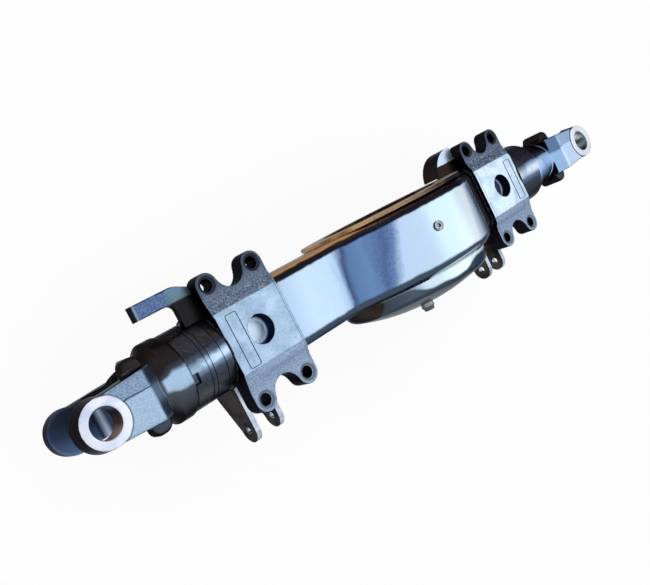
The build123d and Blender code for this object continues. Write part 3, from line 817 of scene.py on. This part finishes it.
# The well: painted reflection on its floor, brighter near, and painted shade on its wall
from_well = distance(true["Off X"], true["Y"])
well_floor = mix(far_side, tone(206, 226, 246), tone(120, 132, 150))
on_cone = past(from_well, WELL_CONE_RADIUS, 0.002)
well_floor = mix(on_cone, well_floor, tone(148, 172, 202))
above_floor = rise(true["Z"], 0.003 - WELL_DEPTH, 0.006 - WELL_DEPTH)
well_tone = mix(above_floor, well_floor, tone(26, 34, 56))
in_well = times(
    rise(from_well, WELL_RADIUS + 0.0009, WELL_RADIUS + 0.0001),
    rise(true["Z"], -0.003, -0.006),
)
colour = mix(in_well, colour, well_tone)
shine = spread(at["Grain"], 0.30, 0.48)
close(output, colour, shine, skin_values=(0.3, 0.6, 0.1), depth=0.0005)
print("seat paint", len(tree.nodes), "nodes")

# %% [markdown]
# The yokes are forged: thin paint over a worked surface, pale on the arm tops, brown-black
# on the sides. The pale tops and the warm and cool tints of the sides are painted sky
# reflection. The two ends face the sky differently, so each has painted tones of its own. The
# round near neck has a ramp over its slope, and the flatter far one a ramp across it.

# %% Arm tops and necks of the yokes
ARM_TOP_Z = 0.0270
PARTING_Y = 0.0155
PATCH_X = 0.618
PATCH_Y = (-0.024, 0.016)
VALLEY_X = 0.650

yoke_paint, tree, output, at = begin("painted_forging", drift=0.005, tilt=0.16)
true = exact(tree)
outward = calculate("ABSOLUTE", true["X"])
far_side = on_far_side(true)

# Painted sky reflection on the arm tops, brighter far, darker in front of the parting line
grit_share = rise(at["Grit"], 0.40, 0.62)
near_rear = mix(grit_share, tone(150, 173, 197), tone(166, 190, 215))
near_front = mix(grit_share, tone(116, 136, 162), tone(142, 164, 190))
far_rear = mix(grit_share, tone(188, 209, 238), tone(204, 222, 246))
far_front = mix(grit_share, tone(140, 166, 198), tone(166, 188, 216))
past_parting = rise(at["Y"], PARTING_Y - 0.0017, PARTING_Y - 0.0003)
near_top = mix(past_parting, near_rear, near_front)
far_top = mix(past_parting, far_rear, far_front)
arm_top = mix(far_side, near_top, far_top)

# The necks: a painted reflection streak, painted shade in the valley behind the near arm
# and a painted highlight patch behind the far one
near_neck = ramp(at["Slope Y"], -1.0, 1.0, (
    (-0.85, 40, 40, 40),
    (-0.55, 66, 70, 74),
    (-0.30, 76, 84, 94),
    (-0.20, 160, 184, 208),
    (0.14, 160, 185, 212),
    (0.22, 62, 68, 80),
    (0.36, 42, 38, 40),
    (0.85, 28, 23, 23),
))
far_neck = ramp(at["Y"], -0.09, 0.09, (
    (-0.060, 26, 27, 30),
    (-0.046, 52, 62, 82),
    (-0.031, 124, 152, 190),
    (-0.014, 180, 208, 242),
    (0.005, 190, 212, 244),
    (0.013, 168, 188, 220),
    (0.020, 60, 66, 82),
    (0.034, 28, 28, 34),
    (0.070, 24, 22, 26),
))
patch = times(past(outward, PATCH_X, 0.006), between(at["Y"], *PATCH_Y, 0.006))
far_neck = mix(patch, far_neck, tone(146, 176, 216))
in_valley = past(outward, VALLEY_X, 0.004)
valley = mix(rise(at["Slope Y"], 0.05, 0.30), tone(70, 80, 90), tone(42, 39, 42))
near_neck = mix(in_valley, near_neck, valley)
neck = mix(far_side, near_neck, far_neck)
on_arm = rise(true["Z"], ARM_TOP_Z - 0.009, ARM_TOP_Z - 0.001)
colour = mix(on_arm, neck, arm_top)
# Dark sides, warm in front and cool behind from painted reflections
side = mix(rise(at["Slope Y"], -0.2, 0.3), tone(20, 20, 24), tone(30, 24, 22))
colour = mix(rise(at["Slope Z"], 0.74, 0.42), colour, side)
print("arms and necks", len(tree.nodes), "nodes")

# %% [markdown]
# Each arm rises from a sloping foot between two side lobes. Inside the fork the lower arm
# mirrors a strip of sky, which is what shows through the upper kingpin bore. The studio has
# no such strip to mirror, so a ramp along the arm stands for it.

# %% Feet, lobes and the inside of the fork
FOOT_X = (0.652, 0.684)
FOOT_Y = (-0.051, 0.051)
LOBE_X = 0.6535
LOBE_Y = 0.0535
LOWER_ARM_Z = -0.1115
LIT_Y = (-0.045, 0.012)
THROAT_END_X = 0.739

# Painted reflection on the sloping feet, palest in the middle of the near one
middle = between(at["Y"], -0.018, 0.016, 0.010)
near_foot = mix(middle, tone(88, 106, 128), tone(160, 182, 198))
far_foot = mix(rise(at["Y"], 0.004, 0.012), tone(158, 190, 230), tone(98, 126, 162))
foot_tone = mix(far_side, near_foot, far_foot)
facing = calculate("ABSOLUTE", at["Slope X"])
on_foot = times(
    between(facing, 0.42, 0.80, 0.06),
    rise(at["Slope Z"], 0.35, 0.55),
    between(outward, *FOOT_X, 0.003),
    between(true["Y"], *FOOT_Y, 0.002),
)
colour = mix(on_foot, colour, foot_tone)
on_lobe = times(
    past(calculate("ABSOLUTE", true["Y"]), LOBE_Y, 0.0015),
    past(outward, LOBE_X, 0.0025),
)
# Painted light on the lobe tops: slate behind, dark brown in front
lobe_top = mix(rise(true["Y"], -0.01, 0.01), tone(62, 70, 82), tone(44, 40, 42))
lobe = mix(rise(at["Slope Z"], 0.80, 0.97), side, lobe_top)
colour = mix(on_lobe, colour, lobe)

# The lower arm, seen from above: the painted sky strip, and painted shade deep in the fork
on_lower_arm = before(true["Z"], LOWER_ARM_Z, 0.0065)
inside = times(on_lower_arm, rise(at["Slope Z"], 0.2, 0.5))
throat = ramp(outward, 0.68, 0.86, (
    (0.700, 30, 40, 60),
    (0.716, 60, 76, 106),
    (0.724, 190, 206, 232),
    (0.734, 48, 62, 90),
    (0.760, 44, 56, 82),
    (0.800, 64, 82, 112),
))
lit_part = between(true["Y"], *LIT_Y, 0.002)
shelf = ramp(at["Y"], -0.05, 0.05, (
    (-0.040, 88, 110, 146),
    (-0.020, 82, 104, 138),
    (0.002, 58, 74, 104),
    (0.024, 50, 62, 84),
    (0.040, 54, 62, 76),
))
past_throat = past(outward, THROAT_END_X, 0.003)
unlit_part = mix(past_throat, tone(20, 22, 28), shelf)
lit = mix(past_throat, throat, shelf)
colour = mix(inside, colour, mix(lit_part, unlit_part, lit))
print("feet and fork", len(tree.nodes), "nodes")

# %% [markdown]
# The ring on top of each upper arm and the kingpin bore are machined after painting, so they
# stay bright, and the ring also carries a painted pale sky reflection. The chamfer round the
# ring is painted dark as shade, most on the far yoke, and the bore holds painted reflections
# and shade. Height and the distance from the kingpin's axis find them, which keeps them
# exactly round.

# %% Machined faces of the yokes
KINGPIN_FACE_RADIUS = 0.0442
KINGPIN_FACE_Z = 0.0315
KINGPIN_BORE_RADIUS = 0.0270
BORE_FOOT_Z = -0.020

reach = distance(folded(true["X"], KINGPIN_X), true["Y"])
on_top = rise(true["Z"], ARM_TOP_Z - 0.003, ARM_TOP_Z)
# Painted shade on the chamfer round the ring, darkest on the far yoke
around = between(reach, KINGPIN_FACE_RADIUS + 0.0010, KINGPIN_FACE_RADIUS + 0.0036, 0.0006)
chamfer_shade = mix(far_side, tone(108, 126, 148), tone(24, 38, 52))
colour = mix(times(around, on_top, 0.9), colour, chamfer_shade)
turned = times(
    rise(true["Z"], KINGPIN_FACE_Z - 0.0023, KINGPIN_FACE_Z - 0.0015),
    rise(reach, KINGPIN_FACE_RADIUS + 0.0008, KINGPIN_FACE_RADIUS + 0.0002),
)
# Bare turned steel with a painted pale sky reflection
bright = mix(rise(at["Cloud"], 0.35, 0.65), tone(200, 208, 228), tone(230, 233, 243))
colour = mix(turned, colour, bright)
bore = rise(reach, KINGPIN_BORE_RADIUS + 0.0020, KINGPIN_BORE_RADIUS + 0.0008)
# Painted reflections and shade inside the bore, laid differently at each end
near_bore = ramp(true["Y"], -0.03, 0.03, (
    (-0.026, 176, 158, 146),
    (-0.012, 96, 78, 70),
    (0.010, 44, 40, 42),
    (0.026, 96, 110, 136),
))
far_bore = ramp(true["Y"], -0.03, 0.03, (
    (-0.024, 92, 88, 92),
    (-0.004, 150, 166, 170),
    (0.018, 226, 238, 238),
))
in_bore = times(bore, rise(true["Z"], BORE_FOOT_Z, BORE_FOOT_Z + 0.008))
colour = mix(in_bore, colour, mix(far_side, near_bore, far_bore))
shine = spread(at["Grain"], 0.26, 0.42)
close(output, colour, shine, skin_values=(0.4, 0.35, 0.0), depth=0.0006)
print("yoke paint", len(tree.nodes), "nodes")

# %% [markdown]
# The lugs are cut from plate and painted with the rest. Their upper edges carry a painted pale
# sky reflection, and their faces stay dark. The upward slope tells one from the other.

# %% Paint on the lugs
lug_paint, tree, output, at = begin("plate_paint", drift=0.004, tilt=0.15)
# Painted pale sky reflection on the upward-facing edges
edge = mix(rise(at["Cloud"], 0.35, 0.65), tone(140, 156, 178), tone(205, 213, 224))
face = mix(rise(at["Cloud"], 0.4, 0.65), tone(38, 35, 34), tone(68, 64, 61))
colour = mix(rise(at["Slope Z"], 0.25, 0.55), face, edge)
close(output, colour, 0.3, skin_values=(0.4, 0.2, 0.0), depth=0.0006)
print("lug paint", len(tree.nodes), "nodes")

# %% [markdown]
# The bent bar carries a painted blue sky reflection along its arm and a greener one at its
# root, with a pale line before its dark end. The stop bracket is dark, with one painted pale
# reflection on its upper edge. Both are small, so a few masks do, without a wear texture.

# %% Paint on the bar and the bracket
BAR_ROOT_X = -0.547
BAR_LINE_X = -0.6170
BAR_END_X = -0.6195
BAR_FACE_Y = (0.122, 0.148)
BRACKET_LIT_Y = 0.1160

bar_paint, tree, output, at = begin("bar_paint", drift=0.010, tilt=0.12)
# Painted blue sky reflection along the arm, varied by grain
grain_and_painted_sheen = ramp(at["Grain"], 0.3, 0.7, (
    (0.38, 74, 93, 130),
    (0.52, 88, 110, 150),
    (0.64, 104, 126, 164),
))
# A greener painted reflection at the root
root = ramp(at["X"], -0.57, -0.49, (
    (-0.552, 104, 130, 156),
    (-0.518, 102, 124, 146),
    (-0.506, 88, 100, 118),
))
root = mix(rise(at["Cloud"], 0.46, 0.60), root, tone(96, 122, 126))
colour = mix(past(at["X"], BAR_ROOT_X, 0.009), grain_and_painted_sheen, root)
on_face = between(at["Y"], *BAR_FACE_Y, 0.002)
border = mix(rise(at["X"], -0.560, -0.540), tone(34, 36, 42), tone(36, 34, 35))
colour = mix(on_face, border, colour)
# A pale line across the bar just before its dark end
pale_line = between(at["X"], BAR_LINE_X - 0.002, BAR_LINE_X + 0.002, 0.001)
colour = mix(times(pale_line, 0.8), colour, tone(138, 148, 158))
colour = mix(before(at["X"], BAR_END_X, 0.001), colour, tone(30, 28, 30))
colour = mix(rise(at["Slope Z"], 0.7, 0.4), colour, tone(34, 30, 30))
close(output, colour, 0.34, skin_values=(0.4, 0.4, 0.0), depth=0.0006)

bracket_paint, tree, output, at = begin("bracket_paint", drift=0.006, tilt=0.12)
true = exact(tree)
# Painted pale reflection on the bracket's upper edge, dark brown before it
lit = rise(at["Y"], BRACKET_LIT_Y, BRACKET_LIT_Y + 0.0025)
shelf = mix(lit, tone(46, 36, 33), tone(200, 217, 236))
colour = mix(rise(true["Slope Z"], 0.7, 0.9), tone(34, 28, 26), shelf)
close(output, colour, 0.28, skin_values=(0.4, 0.2, 0.0), depth=0.0005)
print("bar and bracket paints ready")

# %% [markdown]
# The ring that takes the carrier is turned steel under a film of preserving oil, which dries
# to a warm tan on its face. Its rim carries a painted tan reflection that darkens along the
# axle, so that colour is a ramp. The plugs are plated and dull, with painted shade underneath.

# %% Oiled steel and plated steel
oiled_steel, tree, output, at = begin("machined_steel", drift=0.02, tilt=0.15)
# Painted tan reflection on the rim, darkening along the axle
painted_tan_reflection = ramp(at["X"], -0.15, 0.25, (
    (-0.140, 196, 152, 104),
    (-0.060, 178, 146, 108),
    (-0.020, 150, 128, 104),
    (0.030, 92, 82, 78),
    (0.060, 48, 44, 46),
    (0.110, 34, 32, 36),
))
stain = times(rise(at["Cloud"], 0.45, 0.6), 0.5)
colour = mix(stain, painted_tan_reflection, tone(120, 92, 66))
steel = mix(at["Cloud"], tone(150, 128, 104), tone(196, 180, 160))
colour = mix(rise(at["Slope Y"], 0.5, 0.8), colour, steel)
shine = spread(at["Cloud"], 0.3, 0.45)
close(output, colour, shine, skin_values=(0.2, 0.4, 0.0), depth=0.0004, metallic=0.9)

plated_steel, tree, output, at = begin("plated_plug", drift=0.002, tilt=0.1)
colour = mix(rise(at["Grain"], 0.4, 0.6), tone(116, 124, 130), tone(186, 196, 202))
# Darker towards the back, and painted shade underneath
colour = mix(rise(at["Y"], -0.08, -0.12), colour, tone(84, 86, 86))
colour = mix(rise(at["Slope Z"], 0.3, -0.3), colour, tone(40, 42, 44))
close(output, colour, 0.36, skin_values=(0.2, 0.4, 0.0), depth=0.0003)
print("steel ready")

# %% [markdown]
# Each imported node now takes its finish. Castings and forgings are dressed as copies further
# down, because their edges are rounder than a machined model's.

# %% Give every node its finish
FINISHES = (
    ("_plug", plated_steel),
    ("shell", shell_paint),
    ("filler", shell_paint),
    ("rear_cover", cover_paint),
    ("carrier_flange", oiled_steel),
    ("spring_seat", seat_paint),
    ("axle_tube", tube_paint),
    ("yoke", yoke_paint),
    ("lug", lug_paint),
    ("clip_bar", bar_paint),
    ("stop_bracket", bracket_paint),
)


def finish_for(name):
    """The finish whose key the node's name holds."""
    for key, material in FINISHES:
        if key in name:
            return material
    return shell_paint


for name, node in frame["nodes"].items():
    node.data.materials.clear()
    node.data.materials.append(finish_for(name))
print("finished", len(frame["nodes"]), "nodes")

# %% [markdown]
# Castings and forgings have no sharp corners. Each seat and yoke is copied, covered with an
# even skin of small faces and rubbed down a few times, so that its edges turn round where a
# pattern or a die would leave them round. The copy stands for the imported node.

# %% Dressed copies of the seats and the yokes
SEAT_FACE_SIZE = 0.0022
YOKE_FACE_SIZE = 0.0021
RUB_ROUNDS = 4
RUB_STRENGTH = 0.5
MERGE_DISTANCE = 0.00001


def edit_all():
    """Opens the active mesh for editing, with all of it selected."""
    bpy.ops.object.mode_set(mode="EDIT")
    bpy.ops.mesh.select_all(action="SELECT")


def softened(name, face_size):
    """Copy of a cast or forged node with its edges rounded off."""
    bpy.ops.object.select_all(action="DESELECT")
    node = frame["nodes"][name]
    node.select_set(True)
    bpy.context.view_layer.objects.active = node
    bpy.ops.object.duplicate()
    piece = bpy.context.object
    piece.name = name + "_dressed"
    del piece["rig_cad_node"]
    edit_all()
    bpy.ops.mesh.remove_doubles(threshold=MERGE_DISTANCE)
    bpy.ops.object.mode_set(mode="OBJECT")
    skin_cover = piece.modifiers.new("even_skin", "REMESH")
    skin_cover.mode = "VOXEL"
    skin_cover.voxel_size = face_size
    bpy.ops.object.modifier_apply(modifier=skin_cover.name)
    rub = piece.modifiers.new("rubbed_edges", "SMOOTH")
    rub.factor = RUB_STRENGTH
    rub.iterations = RUB_ROUNDS
    bpy.ops.object.modifier_apply(modifier=rub.name)
    bpy.ops.object.shade_smooth()
    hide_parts(name)
    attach(piece, "root")
    return piece


dressed = []
for end_name, _ in ENDS:
    dressed.append(softened(end_name + "_spring_seat", SEAT_FACE_SIZE))
    dressed.append(softened(end_name + "_steering_yoke", YOKE_FACE_SIZE))
print("dressed", [(o.name, len(o.data.polygons)) for o in dressed])

# %% [markdown]
# The welds are painted with the housing, so they are dark. Only the cover's weld has a pale
# stretch, where it shares the glint on the rim of the banjo, so the same places are used.

# %% Paint on the welds
weld_metal, tree, output, at = begin("weld_metal", drift=0.003, tilt=0.2)
colour = mix(rise(at["Grain"], 0.45, 0.66), tone(20, 21, 26), tone(58, 66, 80))
# Painted shade where the bead faces sideways and down
colour = mix(rise(at["Slope Z"], 0.6, 0.1), colour, tone(20, 21, 25))
glint = times(
    rise(at["Y"], -0.070, -0.078),
    rise(at["Z"], *GLINT_Z),
    between(at["X"], *GLINT_X, 0.006),
)
colour = mix(glint, colour, tone(184, 203, 216))
close(output, colour, 0.34, skin_values=(0.5, 0.3, 0.0), depth=0.0008)
print("weld paint", len(tree.nodes), "nodes")

# %% [markdown]
# A bead follows the joint it closes: a circle round a tube or the cover, and a rectangle with
# round corners where the beam enters a seat. Loops of bare edges are enough, because the
# section comes next.

# %% Loops along the joints
BEAM_HALF_WIDTH = 0.082
BEAM_HALF_HEIGHT = 0.068
BEAM_CORNER = 0.026
COVER_RADIUS = 0.187
TUBE_RADIUS = {"near": 0.080, "far": 0.081}
CIRCLE_POINTS = 220
ACROSS = (0, math.pi / 2, 0)
UPRIGHT = (math.pi / 2, 0, 0)


def keep_place():
    """Writes the active piece's place and size into its mesh."""
    bpy.ops.object.transform_apply(location=True, rotation=True, scale=True)


def round_loop(place, radius, turn):
    """Circle of edges at a place, turned about X, Y, Z."""
    bpy.ops.object.select_all(action="DESELECT")
    bpy.ops.mesh.primitive_circle_add(
        vertices=CIRCLE_POINTS, radius=radius, fill_type="NOTHING", location=place, rotation=turn
    )
    keep_place()
    return bpy.context.object


def beam_loop(x):
    """Rounded rectangle of edges round the beam at x."""
    bpy.ops.object.select_all(action="DESELECT")
    bpy.ops.mesh.primitive_plane_add(size=2, location=(x, 0, AXLE_Z), rotation=ACROSS)
    loop = bpy.context.object
    loop.scale = (BEAM_HALF_HEIGHT, BEAM_HALF_WIDTH, 1)
    keep_place()
    edit_all()
    bpy.ops.mesh.bevel(offset=BEAM_CORNER, segments=8, affect="VERTICES")
    bpy.ops.mesh.select_all(action="SELECT")
    bpy.ops.mesh.delete(type="ONLY_FACE")
    bpy.ops.mesh.select_all(action="SELECT")
    bpy.ops.mesh.subdivide(number_cuts=5)
    bpy.ops.object.mode_set(mode="OBJECT")
    return loop


print("loops go round beams, tubes and the cover, with", CIRCLE_POINTS, "points to a circle")

# %% [markdown]
# Each loop of edges is given a round section and is then rippled by a fine cloud, like the
# scales of a real bead. The ripples are geometry and not bump, so an export keeps them.

# %% Weld beads
BEAM_BEAD = 0.0040
TUBE_BEAD = 0.0022
COVER_BEAD = 0.0034
RIPPLE_SIZE = 0.006
RIPPLE_SHARE = 0.25

ripple = bpy.data.textures.new("weld_ripple", "CLOUDS")
ripple.noise_scale = RIPPLE_SIZE


def cleaned(piece, material):
    """Merges doubled points, turns faces outward, shades smoothly, gives one material."""
    edit_all()
    bpy.ops.mesh.remove_doubles(threshold=MERGE_DISTANCE)
    bpy.ops.mesh.normals_make_consistent(inside=False)
    bpy.ops.object.mode_set(mode="OBJECT")
    bpy.ops.object.shade_smooth()
    piece.data.materials.clear()
    piece.data.materials.append(material)


def bead(name, loop, radius):
    """Turns a loop of edges into a rippled weld bead."""
    bpy.ops.object.convert(target="CURVE")
    loop.data.bevel_depth = radius
    loop.data.bevel_resolution = 3
    bpy.ops.object.convert(target="MESH")
    piece = bpy.context.object
    piece.name = name
    wave = piece.modifiers.new("ripples", "DISPLACE")
    wave.texture = ripple
    wave.texture_coords = "LOCAL"
    wave.strength = radius * RIPPLE_SHARE
    bpy.ops.object.modifier_apply(modifier=wave.name)
    cleaned(piece, weld_metal)
    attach(piece, "root")
    return piece


beads = []
for end_name, sign in ENDS:
    tube = TUBE_RADIUS[end_name]
    seat_start = sign * (SEAT_X - SEAT_HALF)
    beads.append(bead(end_name + "_beam_weld", beam_loop(seat_start), BEAM_BEAD))
    seat_end = (sign * (SEAT_X + SEAT_HALF), 0, AXLE_Z)
    beads.append(bead(end_name + "_tube_weld", round_loop(seat_end, tube, ACROSS), TUBE_BEAD))
cover_rim = round_loop((BANJO_X, -BEAM_HALF_WIDTH, AXLE_Z), COVER_RADIUS, UPRIGHT)
beads.append(bead("cover_weld", cover_rim, COVER_BEAD))
print("beads", len(beads), "faces", sum(len(o.data.polygons) for o in beads))

# %% [markdown]
# Each pad has a raised frame where a foundry casts its numbers. Here the frame stays empty.
# It starts as a flat strip, gets round corners, is hollowed to a thin line and raised. An
# inset keeps the line equally wide all round, which scaled copies would not.

# %% Empty number frames on the pads
FRAME_Y = -0.0005
FRAME_FOOT_Z = -0.0002
FRAME_HEIGHT = 0.0010
FRAME_LINE = 0.0013
FRAME_CORNER = 0.0042
FRAME_EDGE = 0.0002

frame_paint, tree, output, at = begin("frame_paint", drift=0.002, tilt=0.1)
colour = mix(rise(at["Grain"], 0.42, 0.60), tone(40, 48, 68), tone(78, 92, 118))
close(output, colour, 0.36, skin_values=(0.2, 0.4, 0.0), depth=0.0004)


def number_frame(name, x, width, length):
    """Thin raised line with round corners, lying on a pad."""
    bpy.ops.object.select_all(action="DESELECT")
    bpy.ops.mesh.primitive_plane_add(size=2, location=(x, FRAME_Y, FRAME_FOOT_Z))
    piece = bpy.context.object
    piece.name = name
    piece.scale = (width / 2, length / 2, 1)
    keep_place()
    edit_all()
    bpy.ops.mesh.bevel(offset=FRAME_CORNER, segments=6, affect="VERTICES")
    bpy.ops.mesh.select_all(action="SELECT")
    bpy.ops.mesh.inset(thickness=FRAME_LINE)
    bpy.ops.mesh.delete(type="FACE")
    bpy.ops.mesh.select_all(action="SELECT")
    bpy.ops.mesh.extrude_region_move(TRANSFORM_OT_translate={"value": (0, 0, FRAME_HEIGHT)})
    bpy.ops.mesh.select_all(action="SELECT")
    bpy.ops.mesh.normals_make_consistent(inside=False)
    bpy.ops.object.mode_set(mode="OBJECT")
    soften = piece.modifiers.new("soft_edges", "BEVEL")
    soften.width = FRAME_EDGE
    soften.segments = 2
    bpy.ops.object.modifier_apply(modifier=soften.name)
    piece.data.materials.append(frame_paint)
    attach(piece, "root")
    return piece


frames = [
    number_frame("near_number_frame", x=-0.4670, width=0.027, length=0.113),
    number_frame("far_number_frame", x=0.4740, width=0.026, length=0.109),
]
print("frames", [len(o.data.polygons) for o in frames])

# %% [markdown]
# A forging is pressed between two dies, and a thin rough line stays where they met. It shows
# on top of both upper arms, so a single edge is broken up unevenly and given a small section.

# %% Parting lines on the upper arms
ARM_LINE_Z = 0.0279
FLASH_RADIUS = 0.0008
FLASH_BREAKS = 15
FLASH_SEED = 3

flash_paint, tree, output, at = begin("flash_paint", drift=0.002, tilt=0.1)
colour = mix(rise(at["Grain"], 0.40, 0.60), tone(34, 46, 64), tone(72, 90, 114))
close(output, colour, 0.4, skin_values=(0.2, 0.4, 0.0), depth=0.0004)


def parting_line(name, start_x, end_x, unevenness):
    """Thin uneven line on an arm, made from one edge."""
    middle = ((start_x + end_x) / 2, PARTING_Y, ARM_LINE_Z)
    bpy.ops.object.select_all(action="DESELECT")
    bpy.ops.mesh.primitive_plane_add(size=2, location=middle)
    line = bpy.context.object
    line.scale = (abs(end_x - start_x) / 2, 0.001, 1)
    keep_place()
    bpy.ops.object.mode_set(mode="EDIT")
    bpy.ops.mesh.select_mode(type="VERT")
    bpy.ops.mesh.select_all(action="DESELECT")
    bpy.ops.object.mode_set(mode="OBJECT")
    for vertex in line.data.vertices:
        vertex.select = vertex.co.y > PARTING_Y
    bpy.ops.object.mode_set(mode="EDIT")
    bpy.ops.mesh.delete(type="VERT")
    bpy.ops.mesh.select_all(action="SELECT")
    bpy.ops.mesh.subdivide(number_cuts=FLASH_BREAKS, fractal=unevenness, seed=FLASH_SEED)
    bpy.ops.object.mode_set(mode="OBJECT")
    bpy.ops.object.convert(target="CURVE")
    line.data.bevel_depth = FLASH_RADIUS
    line.data.bevel_resolution = 2
    line.data.use_fill_caps = True
    bpy.ops.object.convert(target="MESH")
    piece = bpy.context.object
    piece.name = name
    cleaned(piece, flash_paint)
    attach(piece, "root")
    return piece


lines = [
    parting_line("near_parting_line", -0.737, -0.683, unevenness=1.2),
    parting_line("far_parting_line", 0.683, 0.737, unevenness=0.6),
]
for line in lines:
    places = [vertex.co.y for vertex in line.data.vertices]
    print(line.name, "Y from", round(min(places), 4), "to", round(max(places), 4))
